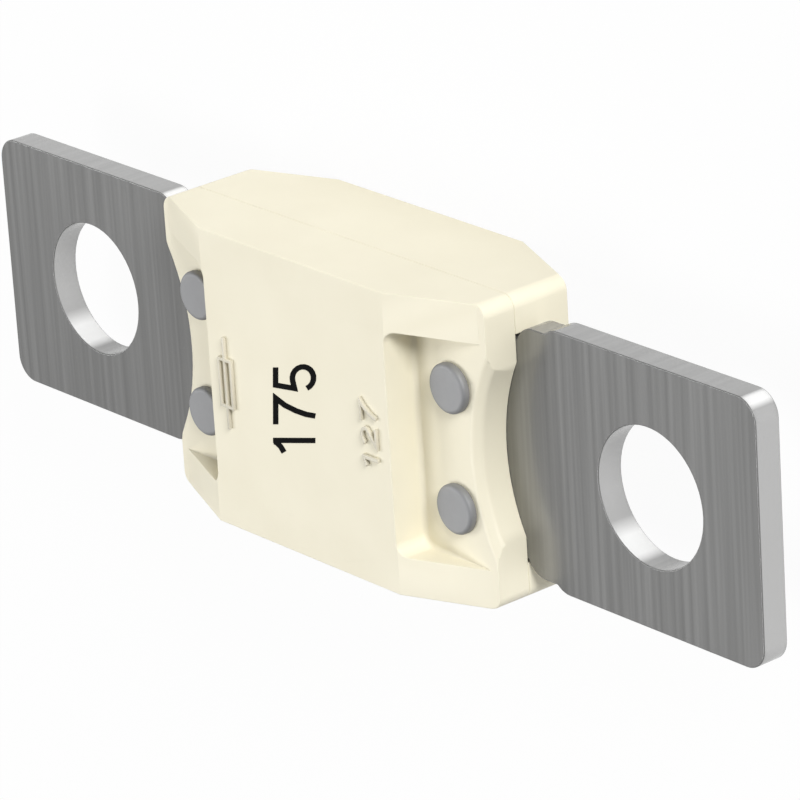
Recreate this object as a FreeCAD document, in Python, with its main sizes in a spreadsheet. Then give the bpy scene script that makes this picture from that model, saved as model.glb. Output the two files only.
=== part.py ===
import FreeCAD, Part
import Sketcher
import math
import os

# Bolt-down strip fuse: a flat metal strip with a bolt hole in each blade, clamped between two
# moulded housing halves that four rivets hold together. The strip lies along X, the bolt axes
# point along Z, and Z is 0 at the underside of the housing, in the middle of its outline.
# All lengths are in millimetres and all angles in degrees.

# Driving dimensions
SIZES = [
    ("bolt_spacing", 51.0, "between the two bolt axes"),
    ("bolt_hole_diameter", 8.6, "clearance hole for an 8 mm stud"),
    ("strip_thickness", 1.8, "sheet that the strip is stamped from"),
    ("blade_reach", 8.9, "from a bolt axis to the end of its blade"),
    ("blade_width", 16.4, "terminal blade across"),
    ("blade_corner_radius", 1.5, "plan radius at the corners of a blade"),
    ("blade_setback", 2.0, "from the housing's end to the square end of a blade"),
    ("shoulder_inset", 0.4, "shoulder in from the blade's side"),
    ("shoulder_gap", 0.05, "from the housing's end to the shoulder"),
    ("shoulder_radius", 1.5, "plan radius where the shoulder leaves the neck"),
    ("neck_inset", 1.35, "neck in from the blade's side, where it enters the housing"),
    ("neck_overhang", 0.8, "neck past the wall of the hollow, into it"),
    ("link_width", 4.4, "fusible link inside the hollow"),
    ("link_root_radius", 1.5, "plan radius where the link leaves the neck"),
    ("link_notch_radius", 1.2, "half-round notches at the middle of the link"),
    ("housing_length", 29.4, "housing, end to end"),
    ("housing_width", 19.0, "housing across its long sides"),
    ("housing_height", 11.0, "housing from the lower crown to the upper crown"),
    ("end_height", 6.4, "housing between its two lands at an end"),
    ("land_length", 0.6, "flat land between a slope and the end"),
    ("slope_length", 5.7, "from a land in to the flat crown"),
    ("corner_radius", 0.85, "upright corners of the housing"),
    ("washer_relief_depth", 1.3, "concave housing end, in from the end face"),
    ("washer_relief_chamfer", 0.45, "bevel along the outer edge of a concave end"),
    ("pocket_width", 14.1, "rivet pocket across the housing"),
    ("pocket_inset", 0.1, "from the crown's edge back to the pocket's inner wall"),
    ("pocket_corner_radius", 0.8, "upright corners of a rivet pocket"),
    ("slot_clearance", 0.28, "each side of the neck in its slot"),
    ("hollow_end_wall", 1.8, "wall between a rivet pocket and the hollow"),
    ("hollow_width", 11.0, "hollow around the fusible link, across the housing"),
    ("hollow_corner_radius", 1.5, "upright corners of the hollow"),
    ("roof_thickness", 1.6, "wall between the hollow and a crown"),
    ("rivet_inset", 3.15, "from the housing's end to the rivets"),
    ("rivet_spacing", 7.56, "between the two rivets of one end"),
    ("rivet_shank_diameter", 2.4, "shank of a rivet"),
    ("rivet_clearance", 0.05, "each side of the shank in its holes"),
    ("rivet_head_diameter", 3.1, "head at each end of a rivet"),
    ("rivet_crown_diameter", 2.75, "flat middle of a head"),
    ("rivet_head_height", 0.55, "head above the pocket's floor"),
    ("rivet_rim_height", 0.42, "upright rim of a head, below its sloped shoulder"),
]

# Heights above the underside of the housing
STRIP_UNDERSIDE = "(Sizes.housing_height - Sizes.strip_thickness) / 2"
PARTING_HEIGHT = "(Sizes.housing_height + Sizes.strip_thickness) / 2"
MIDDLE_HEIGHT = "Sizes.housing_height / 2"

# Distances from the middle of the housing
HOUSING_X = "(Sizes.housing_length / 2)"
LAND_X = f"({HOUSING_X} - Sizes.land_length)"
CROWN_X = f"({LAND_X} - Sizes.slope_length)"
POCKET_X = f"({CROWN_X} - Sizes.pocket_inset)"
HOLLOW_X = f"({POCKET_X} - Sizes.hollow_end_wall)"
RIVET_X = f"({HOUSING_X} - Sizes.rivet_inset)"
RIVET_Y = "(Sizes.rivet_spacing / 2)"
BOLT_X = "(Sizes.bolt_spacing / 2)"
NECK_Y = "(Sizes.blade_width / 2 - Sizes.neck_inset)"

# Two places closer than this count as one
NEAR = 0.001


doc = FreeCAD.newDocument("StripFuse")


def add_sheet():
    """The spreadsheet that holds the driving dimensions."""
    sheet = doc.addObject("Spreadsheet::Sheet", "Sizes")
    for row, (name, size, meaning) in enumerate(SIZES, start=1):
        sheet.set(f"A{row}", name)
        sheet.set(f"B{row}", str(size))
        sheet.set(f"C{row}", meaning)
        sheet.setAlias(f"B{row}", name)
    doc.recompute()
    return sheet


sheet = add_sheet()


def value(expression):
    """The number that an expression on the sheet gives."""
    return float(sheet.evalExpression(expression.replace("Sizes.", "")))


def add_body(name, height, turned=False):
    """A body whose own zero plane lies at a height, turned over about X where asked."""
    body = doc.addObject("PartDesign::Body", name)
    body.Label = name
    if turned:
        body.Placement.Rotation = FreeCAD.Rotation(FreeCAD.Vector(1, 0, 0), 180)
    body.setExpression("Placement.Base.z", height)
    return body


def origin_plane(body, role):
    """One of the three planes of a body's own origin."""
    return next(item for item in body.Origin.OriginFeatures if item.Role == role)


def add_sketch(body, name, role="XY_Plane", height=None):
    """An empty sketch on a plane of the body's origin, lifted off it by an expression."""
    sketch = body.newObject("Sketcher::SketchObject", name)
    sketch.AttachmentSupport = [(origin_plane(body, role), "")]
    sketch.MapMode = "FlatFace"
    if height:
        sketch.setExpression("AttachmentOffset.Base.z", height)
    return sketch


def pin_point(sketch, side, end, place):
    """Ties one end of a side to a place given by two expressions."""
    for kind, expression in zip(("DistanceX", "DistanceY"), place):
        number = sketch.addConstraint(Sketcher.Constraint(kind, side, end, value(expression)))
        sketch.setExpression(f"Constraints[{number}]", expression)


def arc_between(start, finish, radius, hollow):
    """An arc drawn anticlockwise, and whether it then runs from start to finish.

    Along the outline the arc bulges to the right, or to the left where it is hollow.
    """
    chord = finish - start
    middle = (start + finish) / 2
    left = FreeCAD.Vector(-chord.y, chord.x, 0).normalize()
    reach = math.sqrt(max(radius ** 2 - (chord.Length / 2) ** 2, 0))
    centre = middle - left * reach if hollow else middle + left * reach
    angles = [math.atan2((point - centre).y, (point - centre).x) for point in (start, finish)]
    if hollow:
        angles.reverse()
    circle = Part.Circle(centre, FreeCAD.Vector(0, 0, 1), radius)
    return Part.ArcOfCircle(circle, angles[0], angles[1]), not hollow


def draw_outline(sketch, corners, arcs=None):
    """A closed outline, drawn anticlockwise, through corners given as pairs of expressions.

    arcs gives the sides that are round: side number to a radius expression and whether the
    side is hollow. Every corner and radius is tied to its expression.
    """
    arcs = arcs or {}
    places = [FreeCAD.Vector(value(x), value(y), 0) for x, y in corners]
    ends = []
    for side, start in enumerate(places):
        finish = places[(side + 1) % len(places)]
        if side in arcs:
            radius, hollow = arcs[side]
            curve, forward = arc_between(start, finish, value(radius), hollow)
            sketch.addGeometry(curve, False)
            bend = sketch.addConstraint(Sketcher.Constraint("Radius", side, value(radius)))
            sketch.setExpression(f"Constraints[{bend}]", radius)
            ends.append((1, 2) if forward else (2, 1))
        else:
            sketch.addGeometry(Part.LineSegment(start, finish), False)
            ends.append((1, 2))
    for side, place in enumerate(corners):
        after = (side + 1) % len(corners)
        meeting = Sketcher.Constraint("Coincident", side, ends[side][1], after, ends[after][0])
        sketch.addConstraint(meeting)
        pin_point(sketch, side, ends[side][0], place)


def draw_circle(sketch, x, y, diameter):
    """A circle whose centre and diameter are tied to expressions."""
    centre = FreeCAD.Vector(value(x), value(y), 0)
    number = sketch.addGeometry(Part.Circle(centre, FreeCAD.Vector(0, 0, 1), value(diameter) / 2), False)
    pin_point(sketch, number, 3, (x, y))
    bend = sketch.addConstraint(Sketcher.Constraint("Diameter", number, value(diameter)))
    sketch.setExpression(f"Constraints[{bend}]", diameter)


def rounded_rectangle(sketch, low_x, high_x, half_width, radius, open_end=False):
    """A rectangle astride the X axis with rounded corners, square at its high end where open."""
    low = [
        (low_x, f"{half_width} - {radius}"),
        (low_x, f"{radius} - {half_width}"),
        (f"{low_x} + {radius}", f"-{half_width}"),
    ]
    last = (f"{low_x} + {radius}", half_width)
    if open_end:
        high = [(high_x, f"-{half_width}"), (high_x, half_width)]
        arcs = {1: (radius, False), 5: (radius, False)}
    else:
        high = [
            (f"{high_x} - {radius}", f"-{half_width}"),
            (high_x, f"{radius} - {half_width}"),
            (high_x, f"{half_width} - {radius}"),
            (f"{high_x} - {radius}", half_width),
        ]
        arcs = {1: (radius, False), 3: (radius, False), 5: (radius, False), 7: (radius, False)}
    draw_outline(sketch, low + high + [last], arcs)


def extrude(body, name, sketch, length):
    """A pad to one side of its sketch, along the sketch's normal."""
    pad = body.newObject("PartDesign::Pad", name)
    pad.Profile = sketch
    pad.setExpression("Length", length)
    doc.recompute()
    return pad


def cut(body, name, sketch, length=None, upward=False):
    """A pocket from its sketch, down into the body or upward, to a depth or right through."""
    pocket = body.newObject("PartDesign::Pocket", name)
    pocket.Profile = sketch
    pocket.Reversed = upward
    if length:
        pocket.setExpression("Length", length)
    else:
        pocket.Type = "ThroughAll"
    before = pocket.BaseFeature.Shape.Volume
    doc.recompute()
    if not pocket.Shape.Volume < before:
        raise ValueError(f"{name} removes nothing")
    return pocket


def mirror(body, name, features, roles):
    """Copies features across one or two planes of the body's origin."""
    repeat = body.newObject("PartDesign::MultiTransform", name)
    steps = []
    for role in roles:
        step = body.newObject("PartDesign::Mirrored", f"{name}_{role[:2].lower()}")
        step.MirrorPlane = (origin_plane(body, role), [""])
        steps.append(step)
    repeat.Originals = features
    repeat.Transformations = steps
    repeat.Refine = True
    body.Tip = repeat
    doc.recompute()
    return repeat


def round_edges(body, name, radius, wanted):
    """A fillet on every edge of the body's last feature that passes a test."""
    base = body.Tip
    names = [f"Edge{number}" for number, edge in enumerate(base.Shape.Edges, start=1) if wanted(edge)]
    if not names:
        raise ValueError(f"{name} finds no edge")
    fillet = body.newObject("PartDesign::Fillet", name)
    fillet.Base = (base, names)
    fillet.setExpression("Radius", radius)
    doc.recompute()
    return fillet


def build_strip():
    """The one-piece metal strip: two blades, shoulders, necks and the narrow link between."""
    body = add_body("fuse_strip", STRIP_UNDERSIDE)
    end_x = f"({BOLT_X} + Sizes.blade_reach)"
    blade_y = "Sizes.blade_width / 2"
    blade_r = "Sizes.blade_corner_radius"
    shoulder_y = f"{blade_y} - Sizes.shoulder_inset"
    shoulder_r = "Sizes.shoulder_radius"
    link_y = "Sizes.link_width / 2"
    root_r = "Sizes.link_root_radius"
    notch_r = "Sizes.link_notch_radius"
    blade_x = f"({HOUSING_X} + Sizes.blade_setback)"
    blade_drop = f"({blade_r} - Sizes.shoulder_inset)"
    blade_meets_x = f"{blade_x} + {blade_r} - sqrt({blade_r} ^ 2 - {blade_drop} ^ 2)"
    neck_end_x = f"({HOUSING_X} + Sizes.shoulder_gap)"
    shoulder_drop = f"({shoulder_r} + Sizes.shoulder_inset - Sizes.neck_inset)"
    shoulder_x = f"{neck_end_x} + sqrt({shoulder_r} ^ 2 - {shoulder_drop} ^ 2)"
    root_x = f"({HOLLOW_X} - Sizes.neck_overhang)"
    quarter = [
        ("0", "0"),
        (end_x, "0"),
        (end_x, f"{blade_y} - {blade_r}"),
        (f"{end_x} - {blade_r}", blade_y),
        (f"{blade_x} + {blade_r}", blade_y),
        (blade_meets_x, shoulder_y),
        (shoulder_x, shoulder_y),
        (neck_end_x, NECK_Y),
        (root_x, NECK_Y),
        (root_x, f"{link_y} + {root_r}"),
        (f"{root_x} - {root_r}", link_y),
        (notch_r, link_y),
        ("0", f"{link_y} - {notch_r}"),
    ]
    round_sides = {
        2: (blade_r, False),
        4: (blade_r, False),
        6: (shoulder_r, False),
        9: (root_r, True),
        11: (notch_r, True),
    }
    plan = add_sketch(body, "strip_quarter_plan")
    draw_outline(plan, quarter, round_sides)
    pad = extrude(body, "strip_quarter", plan, "Sizes.strip_thickness")
    mirror(body, "strip_whole", [pad], ("YZ_Plane", "XZ_Plane"))
    holes = add_sketch(body, "strip_holes_plan")
    for side in ("", "-"):
        draw_circle(holes, f"{side}{BOLT_X}", "0", "Sizes.bolt_hole_diameter")
    draw_rivet_holes(holes)
    cut(body, "strip_holes", holes, upward=True)
    return body


def draw_rivet_holes(sketch):
    """The four clearance circles that the rivets pass through."""
    hole = "Sizes.rivet_shank_diameter + 2 * Sizes.rivet_clearance"
    for side_x in ("", "-"):
        for side_y in ("", "-"):
            draw_circle(sketch, f"{side_x}{RIVET_X}", f"{side_y}{RIVET_Y}", hole)


def is_upright(edge):
    """Whether an edge runs straight up."""
    box = edge.BoundBox
    return box.XLength < NEAR and box.YLength < NEAR and box.ZLength > NEAR


def is_upright_corner(edge):
    """Whether an edge is one of the four upright corners of the housing's block."""
    middle = edge.BoundBox.Center
    at_end = abs(abs(middle.x) - value(HOUSING_X)) < NEAR
    at_side = abs(abs(middle.y) - value("Sizes.housing_width / 2")) < NEAR
    return is_upright(edge) and at_end and at_side


def build_housing_half(name, turned, beside_strip):
    """A moulded half, drawn with its parting plane at zero and its crown upward.

    beside_strip is a sign: the half that holds the strip in a slot is deeper by half the
    strip's thickness, and the other one is shallower.
    """
    body = add_body(name, PARTING_HEIGHT, turned)
    half_strip = f"{beside_strip} Sizes.strip_thickness / 2"
    crown_z = f"(Sizes.housing_height / 2 {half_strip})"
    land_z = f"(Sizes.end_height / 2 {half_strip})"

    side_view = add_sketch(body, f"{name}_side_view", "XZ_Plane")
    profile = [
        (f"-{HOUSING_X}", "0"),
        (HOUSING_X, "0"),
        (HOUSING_X, land_z),
        (LAND_X, land_z),
        (CROWN_X, crown_z),
        (f"-{CROWN_X}", crown_z),
        (f"-{LAND_X}", land_z),
        (f"-{HOUSING_X}", land_z),
    ]
    draw_outline(side_view, profile)
    block = body.newObject("PartDesign::Pad", f"{name}_block")
    block.Profile = side_view
    block.SideType = "Symmetric"
    block.setExpression("Length", "Sizes.housing_width")
    doc.recompute()

    round_edges(body, f"{name}_corners", "Sizes.corner_radius", is_upright_corner)

    relief_section = add_sketch(body, f"{name}_relief_section", "XZ_Plane")
    relief_section.setExpression("AttachmentOffset.Base.x", BOLT_X)
    relief_r = f"({BOLT_X} - {HOUSING_X} + Sizes.washer_relief_depth)"
    bevel_r = f"{relief_r} + Sizes.washer_relief_chamfer"
    section = [
        ("0", "0"),
        (relief_r, "0"),
        (relief_r, f"{land_z} - Sizes.washer_relief_chamfer"),
        (bevel_r, land_z),
        (bevel_r, "Sizes.housing_height"),
        ("0", "Sizes.housing_height"),
    ]
    draw_outline(relief_section, section)
    relief = body.newObject("PartDesign::Groove", f"{name}_relief")
    relief.Profile = relief_section
    relief.ReferenceAxis = (relief_section, ["V_Axis"])
    relief.Angle = 360
    doc.recompute()
    mirror(body, f"{name}_reliefs", [relief], ("YZ_Plane",))

    pocket_plan = add_sketch(body, f"{name}_pocket_plan", height=land_z)
    rounded_rectangle(
        pocket_plan,
        POCKET_X,
        "Sizes.housing_length",
        "Sizes.pocket_width / 2",
        "Sizes.pocket_corner_radius",
        open_end=True,
    )
    pocket = cut(body, f"{name}_rivet_pocket", pocket_plan, upward=True)
    mirror(body, f"{name}_rivet_pockets", [pocket], ("YZ_Plane",))

    if beside_strip == "+":
        slot_plan = add_sketch(body, f"{name}_slot_plan")
        slot_y = f"({NECK_Y} + Sizes.slot_clearance)"
        slot = [
            ("-Sizes.housing_length", f"-{slot_y}"),
            ("Sizes.housing_length", f"-{slot_y}"),
            ("Sizes.housing_length", slot_y),
            ("-Sizes.housing_length", slot_y),
        ]
        draw_outline(slot_plan, slot)
        cut(body, f"{name}_strip_slot", slot_plan, "Sizes.strip_thickness", upward=True)

    hollow_plan = add_sketch(body, f"{name}_hollow_plan")
    rounded_rectangle(
        hollow_plan,
        f"(-{HOLLOW_X})",
        HOLLOW_X,
        "Sizes.hollow_width / 2",
        "Sizes.hollow_corner_radius",
    )
    cut(body, f"{name}_hollow", hollow_plan, f"{crown_z} - Sizes.roof_thickness", upward=True)

    rivet_plan = add_sketch(body, f"{name}_rivet_plan")
    draw_rivet_holes(rivet_plan)
    cut(body, f"{name}_rivet_holes", rivet_plan, upward=True)

    return body


def build_rivets():
    """Four alike rivets, each with a shank through the housing and a head in each pocket."""
    body = add_body("rivets", MIDDLE_HEIGHT)
    section = add_sketch(body, "rivet_section", "XZ_Plane")
    section.setExpression("AttachmentOffset.Base.x", RIVET_X)
    section.setExpression("AttachmentOffset.Base.z", f"-{RIVET_Y}")
    seat_z = "Sizes.end_height / 2"
    rim_z = f"({seat_z} + Sizes.rivet_rim_height)"
    top_z = f"({seat_z} + Sizes.rivet_head_height)"
    shank_x = "Sizes.rivet_shank_diameter / 2"
    head_x = "Sizes.rivet_head_diameter / 2"
    crown_x = "Sizes.rivet_crown_diameter / 2"
    half_section = [
        ("0", f"-{top_z}"),
        (crown_x, f"-{top_z}"),
        (head_x, f"-{rim_z}"),
        (head_x, f"-{seat_z}"),
        (shank_x, f"-{seat_z}"),
        (shank_x, seat_z),
        (head_x, seat_z),
        (head_x, rim_z),
        (crown_x, top_z),
        ("0", top_z),
    ]
    draw_outline(section, half_section)
    rivet = body.newObject("PartDesign::Revolution", "rivet_turned")
    rivet.Profile = section
    rivet.ReferenceAxis = (section, ["V_Axis"])
    rivet.Angle = 360
    doc.recompute()
    mirror(body, "rivets_all", [rivet], ("YZ_Plane", "XZ_Plane"))
    return body


def check_document():
    """Stops if any object of the document failed to build."""
    for item in doc.Objects:
        if "Invalid" in item.State or "Error" in item.State:
            raise ValueError(f"{item.Name} failed: {item.State}")


def save_part(body):
    """Checks a sub-part's shape and writes it under its own name."""
    shape = body.Shape
    if shape.isNull() or not shape.isValid():
        raise ValueError(f"{body.Label} has no valid shape")
    shape.exportStep(f"parts/{body.Label}.step")
    print(body.Label, len(shape.Solids), "solids", round(shape.Volume, 2), "mm3")


sub_parts = [
    build_strip(),
    build_housing_half("upper_housing", False, "-"),
    build_housing_half("lower_housing", True, "+"),
    build_rivets(),
]
doc.recompute()
check_document()
os.makedirs("parts", exist_ok=True)
for sub_part in sub_parts:
    save_part(sub_part)
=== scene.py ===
import bpy
import math
from mathutils import Matrix, Vector


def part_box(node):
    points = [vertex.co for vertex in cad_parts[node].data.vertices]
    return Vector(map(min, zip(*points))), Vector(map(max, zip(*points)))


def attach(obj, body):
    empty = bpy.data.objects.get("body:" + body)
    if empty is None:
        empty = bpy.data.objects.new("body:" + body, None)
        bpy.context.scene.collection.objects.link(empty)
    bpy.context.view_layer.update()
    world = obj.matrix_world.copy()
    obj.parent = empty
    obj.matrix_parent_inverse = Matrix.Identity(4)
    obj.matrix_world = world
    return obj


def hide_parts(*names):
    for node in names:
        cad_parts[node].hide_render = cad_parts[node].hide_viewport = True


# Looks of the bolt-down strip fuse: softened edges, brushed metal, moulded ivory plastic, the
# printed number and the raised marks of the numbered face. Lengths are in metres.

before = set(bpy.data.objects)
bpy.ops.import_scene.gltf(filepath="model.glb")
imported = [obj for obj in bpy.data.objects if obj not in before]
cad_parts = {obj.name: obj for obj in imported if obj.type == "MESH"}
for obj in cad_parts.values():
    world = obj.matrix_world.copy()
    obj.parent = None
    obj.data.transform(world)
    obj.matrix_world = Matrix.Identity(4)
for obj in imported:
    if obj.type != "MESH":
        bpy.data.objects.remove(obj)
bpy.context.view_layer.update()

MM = 0.001

# Widths of the softened edges, judged from the photograph
STRIP_EDGE = 0.07 * MM
HOUSING_EDGE = 0.07 * MM
RIDGE_EDGE = 0.30 * MM  # along the bevelled rim of a concave end
FOOT_EDGE = 0.50 * MM  # along the foot of a pocket's inner wall
RIVET_EDGE = 0.10 * MM
MARK_EDGE = 0.03 * MM

# How the edges and faces of a mesh are told apart
WELD = 0.0005 * MM  # points closer than this are one point
FLAT = math.radians(0.4)  # faces that meet at less than this are one flat face
SHARP = math.radians(28)  # edges that turn by more than this are softened
SMOOTH = math.radians(35)  # edges that turn by less than this are shaded smooth
LEVEL = 0.001 * MM  # an edge whose ends differ in height by less than this is level

# Places on the housing, whose halves mirror each other at the middle height
CROWN_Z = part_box("upper_housing")[1].z
MIDDLE_Z = CROWN_Z / 2
LAND_RISE = 3.2 * MM  # from the middle height to a land, and to the floor of a pocket
BOLT_X = 25.5 * MM
RIDGE_REACH = 12.7 * MM  # from the bolt's axis past the bevelled rim
RIDGE_DROP = 0.5 * MM  # from the land down past the bevelled rim
FOOT_X = (8.2 * MM, 9.2 * MM)  # the foot of a pocket's inner wall lies between these
FOOT_Y = 7.2 * MM  # and nearer to the middle than this, with its corners
FOOT_DROP = 0.01 * MM  # and no further than this from the floor's height

# The strip is darker and a little warmer by the right end of the housing
TINT_END = 14.0 * MM  # the tint is full up to here
TINT_FADE = 5.0 * MM  # and is gone this much further along the blade

# The numbered face
STROKE_WEIGHT = 0.125  # stroke of a digit, in digit heights
DIGIT_ADVANCE = 0.776  # from one digit to the next, in digit heights
ARC_STEPS = 14  # straight pieces that a digit's arc is made of
INK_DEPTH = 0.02 * MM
RAISED = 0.22 * MM  # height of the moulded marks
SYMBOL_X = -6.60 * MM
SYMBOL_LINE = 0.20 * MM
SYMBOL_BOX = (1.30 * MM, 3.20 * MM)  # outside of the symbol's box, across and along
SYMBOL_LENGTH = 5.90 * MM

# The studio
FLOOR_SIZE = 6
FLOOR_GAP = 0.01 * MM
FLOOR_WHITE = 0.95  # how far the camera and reflections see the floor as pure white
SUN_WIDTH = math.radians(24)  # how wide each lamp looks from the object
WORLD_GREY = 0.256

# Sockets of a Mix node on colours, which share their names with its sockets for plain values
MIX_SHARE, MIX_FIRST, MIX_SECOND, MIX_RESULT = 0, 6, 7, 2


# Materials


class Wire:
    """An output of a material's node. Arithmetic on one that carries a value adds a Math node."""

    def __init__(self, finish, socket):
        self.finish = finish
        self.socket = socket

    def __add__(self, other):
        return self.finish.maths("ADD", self, other)

    __radd__ = __add__

    def __mul__(self, other):
        return self.finish.maths("MULTIPLY", self, other)

    __rmul__ = __mul__

    def __sub__(self, other):
        return self.finish.maths("SUBTRACT", self, other)

    def __rsub__(self, other):
        return self.finish.maths("SUBTRACT", other, self)


class Finish:
    """A material with one principled surface, and the nodes that vary it over the piece."""

    def __init__(self, name, **constants):
        self.material = bpy.data.materials.new(name)
        self.material.use_nodes = True
        self.tree = self.material.node_tree
        self.surface = self.tree.nodes["Principled BSDF"]
        for quality, constant in constants.items():
            self.surface_input(quality).default_value = constant
        self.place = self.node("ShaderNodeTexCoord", output="Object")

    def surface_input(self, quality):
        """A socket of the surface, whose name is given with underscores for its spaces."""
        return self.surface.inputs[quality.replace("_", " ")]

    def vary(self, **wires):
        """Lets qualities of the surface follow the pattern of their wires."""
        for quality, wire in wires.items():
            self.tree.links.new(wire.socket, self.surface_input(quality))

    def node(self, kind, settings=None, inputs=None, output=0):
        """Any node: its settings first, then the values or links of its sockets."""
        made = self.tree.nodes.new(kind)
        for name, setting in (settings or {}).items():
            if name == "stops":
                self.set_stops(made.color_ramp, setting)
            else:
                setattr(made, name, setting)
        for socket, given in (inputs or {}).items():
            if isinstance(given, Wire):
                self.tree.links.new(given.socket, made.inputs[socket])
            else:
                made.inputs[socket].default_value = given
        return Wire(self, made.outputs[output])

    def set_stops(self, ramp, stops):
        """Gives a colour ramp its stops: pairs of a position and a grey."""
        while len(ramp.elements) < len(stops):
            ramp.elements.new(0.5)
        for element, (position, grey) in zip(ramp.elements, stops):
            element.position = position
            element.color = (grey, grey, grey, 1)

    def maths(self, operation, *values):
        """A sum on values that may vary."""
        return self.node("ShaderNodeMath", {"operation": operation}, dict(enumerate(values)))

    def stretched(self, x, y, z):
        """The piece's own coordinates, packed closer or drawn out along each axis."""
        return self.node("ShaderNodeMapping", inputs={"Vector": self.place, "Scale": (x, y, z)})

    def noise(self, scale, detail, where=None):
        """A cloudy pattern of values between 0 and 1, with so many clouds to the metre."""
        inputs = {"Vector": where or self.place, "Scale": scale, "Detail": detail}
        return self.node("ShaderNodeTexNoise", inputs=inputs)

    def ramp(self, value, *stops):
        """A value remapped by its stops, and held past the first and the last."""
        return self.node("ShaderNodeValToRGB", {"stops": stops}, {"Fac": value})

    def blend(self, share, first, second):
        """Two colours mixed by a share that may vary."""
        inputs = {MIX_SHARE: share, MIX_FIRST: first, MIX_SECOND: second}
        return self.node("ShaderNodeMix", {"data_type": "RGBA"}, inputs, output=MIX_RESULT)

    def lying(self, axis):
        """Where the surface lies along an axis of the piece, in metres."""
        return self.node("ShaderNodeSeparateXYZ", inputs={"Vector": self.place}, output=axis)

    def facing(self, axis):
        """How far the surface faces along an axis of the piece, from -1 to 1."""
        normal = self.node("ShaderNodeNewGeometry", output="Normal")
        return self.node("ShaderNodeSeparateXYZ", inputs={"Vector": normal}, output=axis)

    def bump(self, height, depth):
        """Tilts the surface by a height between 0 and 1, which stands for a depth in metres."""
        self.vary(Normal=self.node("ShaderNodeBump", inputs={"Height": height, "Distance": depth}))


def moulded_ivory(name, warm, light):
    """Satin ivory plastic: a faint cloudiness and the fine grain of a spark-eroded mould."""
    finish = Finish(name, IOR=1.46)
    cloud = finish.noise(190, 3.0)
    share = finish.ramp(cloud, (0.3, 0.0), (0.7, 1.0))
    finish.vary(Base_Color=finish.blend(share, warm, light))
    grain = finish.noise(5200, 2.0)
    finish.vary(Roughness=0.40 + cloud * 0.10 + grain * 0.06)
    finish.bump(grain * 0.7 + finish.noise(1400, 2.0) * 0.3, 0.004 * MM)
    return finish.material


def brushed_strip():
    """Plated strip: a fine drawn grain across it, cut sides of other greys, lighter on the ends as
    painted light and with a painted highlight where they turn, and rougher rims painted darker as
    shade.
    """
    finish = Finish("brushed_strip", Metallic=0.6)
    fine = finish.noise(2600, 3.0, finish.stretched(1, 0.012, 0.012))
    broad = finish.noise(900, 2.0, finish.stretched(1, 0.02, 0.02))
    grain = fine * 0.65 + broad * 0.35
    share = finish.ramp(grain, (0.35, 0.0), (0.65, 1.0))
    drawn = finish.blend(share, (0.285, 0.285, 0.282, 1), (0.340, 0.340, 0.337, 1))
    tinted = finish.blend(share, (0.203, 0.203, 0.193, 1), (0.246, 0.246, 0.234, 1))
    lengthwise = finish.lying("X")
    past_end = (lengthwise - TINT_END) * (1 / TINT_FADE)
    tint = finish.ramp(past_end, (0.0, 1.0), (1.0, 0.0))
    right_blade = finish.maths("GREATER_THAN", lengthwise, 0.0)
    flat = finish.blend(tint * right_blade, drawn, tinted)
    # Cut sides, partly their own grey and partly painted light: those facing along the strip are
    # painted lighter than those facing across it
    side_on = finish.blend(share, (0.330, 0.330, 0.327, 1), (0.390, 0.390, 0.387, 1))
    end_on = finish.blend(share, (0.455, 0.455, 0.451, 1), (0.485, 0.485, 0.481, 1))
    along, across, upward = (finish.facing(axis) for axis in "XYZ")
    cut_and_painted_light = finish.blend(across * across, end_on, side_on)
    level = upward * upward
    face = finish.blend(level, cut_and_painted_light, flat)
    # A painted highlight on cut sides that face between along and across, as a stretch of each
    # stud hole's wall does
    highlight_share = finish.ramp(along * across * across * across, (0.16, 0.0), (0.29, 1.0))
    walls_and_highlight = finish.blend(highlight_share, face, (0.900, 0.900, 0.895, 1))
    # The softened edges, which are neither level nor upright, are rougher and painted darker as
    # shade along each edge
    rim = finish.ramp(level * (1 - level), (0.01, 0.0), (0.05, 1.0))
    finish.vary(Base_Color=finish.blend(rim, walls_and_highlight, (0.230, 0.230, 0.228, 1)))
    finish.vary(Roughness=0.16 + fine * 0.12 + rim * 0.45)
    finish.bump(fine, 0.0008 * MM)
    return finish.material


def rivet_grey():
    """Dull grey rivet heads with a slightly pitted skin."""
    finish = Finish("rivet_grey", Metallic=0.5)
    blotch = finish.noise(900, 3.0)
    share = finish.ramp(blotch, (0.3, 0.0), (0.7, 1.0))
    finish.vary(Base_Color=finish.blend(share, (0.268, 0.271, 0.278, 1), (0.302, 0.305, 0.312, 1)))
    pits = finish.noise(6000, 2.0)
    finish.vary(Roughness=0.56 + blotch * 0.16)
    finish.bump(pits * 0.5 + blotch * 0.5, 0.004 * MM)
    return finish.material


def printing_ink():
    """Black ink, thinner and a little greyer in places."""
    finish = Finish("printing_ink", Specular_IOR_Level=0.03)
    cover = finish.noise(1500, 3.0)
    share = finish.ramp(cover, (0.35, 0.0), (0.75, 1.0))
    finish.vary(Base_Color=finish.blend(share, (0.002, 0.002, 0.002, 1), (0.006, 0.006, 0.006, 1)))
    finish.vary(Roughness=0.45 + cover * 0.2)
    finish.bump(cover, 0.003 * MM)
    return finish.material


# Working with pieces


def deselect_all():
    bpy.ops.object.select_all(action="DESELECT")


def make_active(piece):
    """Leaves one object selected and active."""
    deselect_all()
    piece.select_set(True)
    bpy.context.view_layer.objects.active = piece


def apply_modifier(piece, name, kind, **settings):
    """Adds a modifier, sets it and applies it."""
    make_active(piece)
    modifier = piece.modifiers.new(name, kind)
    for setting, given in settings.items():
        setattr(modifier, setting, given)
    bpy.ops.object.modifier_apply(modifier=modifier.name)


def fit_piece(piece, material):
    """Gives a finished piece its material and its place in the model."""
    piece.data.materials.clear()
    piece.data.materials.append(material)
    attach(piece, "root")


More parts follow.
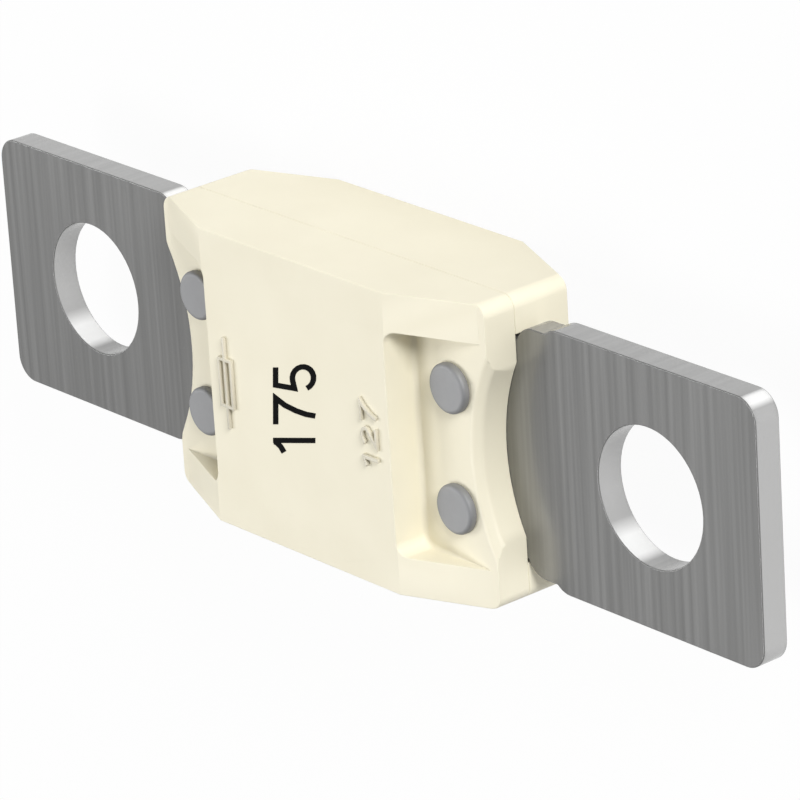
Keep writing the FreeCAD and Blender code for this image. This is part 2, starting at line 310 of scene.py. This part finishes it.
def soften(piece, width, segments=3):
    """Rounds every sharp edge of a piece and keeps its flat faces flat to the light."""
    apply_modifier(
        piece,
        "softened edges",
        "BEVEL",
        width=width,
        segments=segments,
        limit_method="ANGLE",
        angle_limit=SHARP,
        use_clamp_overlap=False,
        loop_slide=False,
    )
    make_active(piece)
    bpy.ops.object.shade_smooth_by_angle(angle=SMOOTH)
    apply_modifier(piece, "flat faces", "WEIGHTED_NORMAL", weight=100, keep_sharp=True)


def from_land(place):
    """How far a place on the housing lies above or below the land of its own half."""
    return abs(abs(place.z - MIDDLE_Z) - LAND_RISE)


def is_ridge(place):
    """Whether a place on the housing lies on the bevelled rim of a concave end."""
    near_bolt = math.hypot(abs(place.x) - BOLT_X, place.y) < RIDGE_REACH
    return near_bolt and from_land(place) < RIDGE_DROP


def is_foot(place):
    """Whether a place on the housing lies at the foot of a pocket's inner wall."""
    inside = FOOT_X[0] < abs(place.x) < FOOT_X[1] and abs(place.y) < FOOT_Y
    return inside and from_land(place) < FOOT_DROP


def round_level_edges(piece, width, wanted):
    """Rounds the level edges of a piece whose two ends pass a test."""
    weights = piece.data.attributes.new("bevel_weight_edge", "FLOAT", "EDGE")
    for edge in piece.data.edges:
        ends = [piece.data.vertices[number].co for number in edge.vertices]
        level = abs(ends[0].z - ends[1].z) < LEVEL
        weights.data[edge.index].value = level and wanted(ends[0]) and wanted(ends[1])
    apply_modifier(piece, "rounding", "BEVEL", width=width, segments=5, limit_method="WEIGHT")
    piece.data.attributes.remove(piece.data.attributes["bevel_weight_edge"])


def dress(node, name, edge, material, rounds=()):
    """Makes a copy of a CAD node with softened edges, which stands for the node."""
    piece = bpy.data.objects.new(name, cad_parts[node].data.copy())
    bpy.context.scene.collection.objects.link(piece)
    make_active(piece)
    bpy.ops.object.mode_set(mode="EDIT")
    bpy.ops.mesh.select_all(action="SELECT")
    bpy.ops.mesh.remove_doubles(threshold=WELD)
    bpy.ops.mesh.dissolve_limited(angle_limit=FLAT)
    bpy.ops.object.mode_set(mode="OBJECT")
    for width, wanted in rounds:
        round_level_edges(piece, width, wanted)
    soften(piece, edge)
    fit_piece(piece, material)
    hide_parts(node)


# The number and the marks


def arc(centre, radii, start, finish):
    """Points along an ellipse from one angle to another, in degrees."""
    points = []
    for step in range(ARC_STEPS + 1):
        angle = math.radians(start + (finish - start) * step / ARC_STEPS)
        x = centre[0] + radii[0] * math.cos(angle)
        y = centre[1] + radii[1] * math.sin(angle)
        points.append((x, y))
    return points


# The middle lines of each digit, in digit heights: along the line of text, then up the digit
DIGITS = {
    "1": [
        [(0.459, 0.0), (0.459, 1.0)],
        [(0.175, 0.740), (0.310, 0.820), (0.400, 0.910), (0.425, 0.967)],
    ],
    "2": [
        arc((0.380, 0.700), (0.245, 0.238), 165, -28) + [(0.130, 0.063), (0.690, 0.063)],
    ],
    "5": [
        [(0.640, 0.937), (0.222, 0.937), (0.140, 0.490)]
        + arc((0.385, 0.290), (0.262, 0.250), 105, -158),
    ],
    "7": [
        [
            (0.066, 0.937),
            (0.690, 0.937),
            (0.520, 0.720),
            (0.385, 0.450),
            (0.300, 0.210),
            (0.262, 0.0),
        ],
    ],
}


def stroke(name, points, weight, height, closed=False):
    """A flat-topped line of even width and height along a path, standing on the zero plane."""
    deselect_all()
    bpy.ops.curve.primitive_bezier_curve_add()
    line = bpy.context.active_object
    line.name = name
    line.data.splines.clear()
    spline = line.data.splines.new("POLY")
    spline.points.add(len(points) - 1)
    for point, (along, up) in zip(spline.points, points):
        point.co = (along, up, 0, 1)
    spline.use_cyclic_u = closed
    bpy.ops.object.convert(target="MESH")
    bpy.ops.object.mode_set(mode="EDIT")
    bpy.ops.mesh.select_all(action="SELECT")
    bpy.ops.mesh.extrude_region_move(TRANSFORM_OT_translate={"value": (0, 0, height)})
    bpy.ops.object.mode_set(mode="OBJECT")
    apply_modifier(line, "width", "SOLIDIFY", thickness=weight, offset=0, use_even_offset=True)
    return line


def unite(piece, other):
    """Melts a second solid into the first."""
    apply_modifier(piece, "united", "BOOLEAN", operation="UNION", object=other, solver="EXACT")
    bpy.data.objects.remove(other)


def join(name, parts):
    """Several loose pieces made one."""
    deselect_all()
    for part in parts:
        part.select_set(True)
    bpy.context.view_layer.objects.active = parts[0]
    bpy.ops.object.join()
    parts[0].name = name
    parts[0].data.name = name
    return parts[0]


def digit_shape(name, digit):
    """One digit, a unit high and a unit thick, with its strokes melted together."""
    first, *others = [stroke(name, line, STROKE_WEIGHT, height=1.0) for line in DIGITS[digit]]
    for other in others:
        unite(first, other)
    return first


def number(name, text, start, along, up, relief):
    """A line of digits on the numbered face.

    It begins at start. A digit height along the line and one up the digits are the steps along
    and up on the face, and relief is how far the digits stand out of it.
    """
    parts = []
    for place, digit in enumerate(text):
        part = digit_shape(f"{name}_{digit}", digit)
        part.data.transform(Matrix.Translation((place * DIGIT_ADVANCE, 0, 0)))
        parts.append(part)
    piece = join(name, parts)
    placing = Matrix(
        (
            (along[0], up[0], 0, start[0]),
            (along[1], up[1], 0, start[1]),
            (0, 0, relief, CROWN_Z),
            (0, 0, 0, 1),
        )
    )
    piece.data.transform(placing)
    make_active(piece)
    bpy.ops.object.mode_set(mode="EDIT")
    bpy.ops.mesh.select_all(action="SELECT")
    bpy.ops.mesh.normals_make_consistent(inside=False)
    bpy.ops.object.mode_set(mode="OBJECT")
    return piece


def fuse_symbol(name, x, relief):
    """The general sign for a fuse, a box with a line right through it, along the Y axis."""
    across, along = (size / 2 - SYMBOL_LINE / 2 for size in SYMBOL_BOX)
    corners = [(-across, -along), (across, -along), (across, along), (-across, along)]
    middle = [(0, -SYMBOL_LENGTH / 2), (0, SYMBOL_LENGTH / 2)]
    box = stroke(name, corners, SYMBOL_LINE, relief, closed=True)
    line = stroke(f"{name}_line", middle, SYMBOL_LINE, relief)
    unite(box, line)
    box.data.transform(Matrix.Translation((x, 0, CROWN_Z)))
    return box


# Pieces

ivory = moulded_ivory("moulded_ivory", (0.825, 0.776, 0.614, 1), (0.855, 0.808, 0.648, 1))
# The raised marks' ivory is painted darker, as painted shade, to stand for the shade along their
# strokes
painted_shade_ivory = moulded_ivory(
    "painted_shade_ivory", (0.610, 0.575, 0.470, 1), (0.700, 0.660, 0.535, 1)
)
housing_rounds = ((RIDGE_EDGE, is_ridge), (FOOT_EDGE, is_foot))
dress("fuse_strip", "metal_strip", STRIP_EDGE, brushed_strip())
dress("upper_housing", "upper_shell", HOUSING_EDGE, ivory, housing_rounds)
dress("lower_housing", "lower_shell", HOUSING_EDGE, ivory, housing_rounds)
dress("rivets", "rivet_set", RIVET_EDGE, rivet_grey())

printed_number = number(
    "printed_number",
    "175",
    start=(1.29 * MM, -2.85 * MM),
    along=(0.28 * MM, 2.77 * MM),
    up=(-4.03 * MM, -1.08 * MM),
    relief=INK_DEPTH,
)
fit_piece(printed_number, printing_ink())

moulded_number = number(
    "moulded_number",
    "127",
    start=(7.35 * MM, -2.15 * MM),
    along=(0, 1.95 * MM),
    up=(-1.42 * MM, 0),
    relief=RAISED,
)
soften(moulded_number, MARK_EDGE, segments=2)
fit_piece(moulded_number, painted_shade_ivory)

moulded_symbol = fuse_symbol("moulded_symbol", SYMBOL_X, RAISED)
soften(moulded_symbol, MARK_EDGE, segments=2)
fit_piece(moulded_symbol, painted_shade_ivory)


# Studio


def add_floor():
    """A pale floor that the camera and reflections see as white, with the object's soft shadow."""
    bpy.ops.mesh.primitive_plane_add(size=FLOOR_SIZE, location=(0, 0, -FLOOR_GAP))
    floor = bpy.context.active_object
    floor.name = "floor"
    paper = Finish("floor_paper", Roughness=0.9, Base_Color=(0.80, 0.80, 0.80, 1))
    path = paper.node("ShaderNodeLightPath", output="Is Camera Ray")
    rays = path.socket.node.outputs
    seen = path + Wire(paper, rays["Is Glossy Ray"]) + Wire(paper, rays["Is Transmission Ray"])
    white = paper.node("ShaderNodeEmission", inputs={"Color": (1, 1, 1, 1), "Strength": 1.0})
    share = paper.maths("MINIMUM", seen, 1.0) * FLOOR_WHITE
    lit = Wire(paper, paper.surface.outputs[0])
    mixed = paper.node("ShaderNodeMixShader", inputs={0: share, 1: lit, 2: white})
    surface = paper.tree.nodes["Material Output"].inputs["Surface"]
    paper.tree.links.new(mixed.socket, surface)
    floor.data.materials.append(paper.material)


def add_sun(name, towards, strength):
    """A soft distant light that stands in a direction from the object."""
    bpy.ops.object.light_add(type="SUN")
    lamp = bpy.context.active_object
    lamp.name = name
    lamp.rotation_euler = Vector(towards).to_track_quat("Z", "Y").to_euler()
    lamp.data.energy = strength
    lamp.data.angle = SUN_WIDTH


def add_camera():
    """The photograph's viewpoint, solved from the strip's straight edges and both stud holes."""
    bpy.ops.object.camera_add(
        location=(0.24276, 0.12329, 0.20239),
        rotation=(math.radians(-25.675), math.radians(49.165), math.radians(-5.177)),
    )
    camera = bpy.context.active_object
    camera.data.lens = 253.4
    camera.data.sensor_width = 36
    camera.data.sensor_fit = "HORIZONTAL"
    bpy.context.scene.camera = camera


def add_world():
    """An even grey light from all around."""
    world = bpy.data.worlds.new("studio")
    world.use_nodes = True
    light = world.node_tree.nodes["Background"].inputs["Color"]
    light.default_value = (WORLD_GREY, WORLD_GREY, WORLD_GREY, 1)
    bpy.context.scene.world = world


add_floor()
add_sun("far_end", towards=(-0.788, 0.000, 0.616), strength=1.10)
add_sun("far_corner", towards=(-0.360, -0.302, 0.883), strength=1.15)
add_sun("near_corner", towards=(0.736, 0.622, 0.267), strength=2.72)
add_camera()
add_world()
bpy.context.scene.view_settings.view_transform = "Standard"
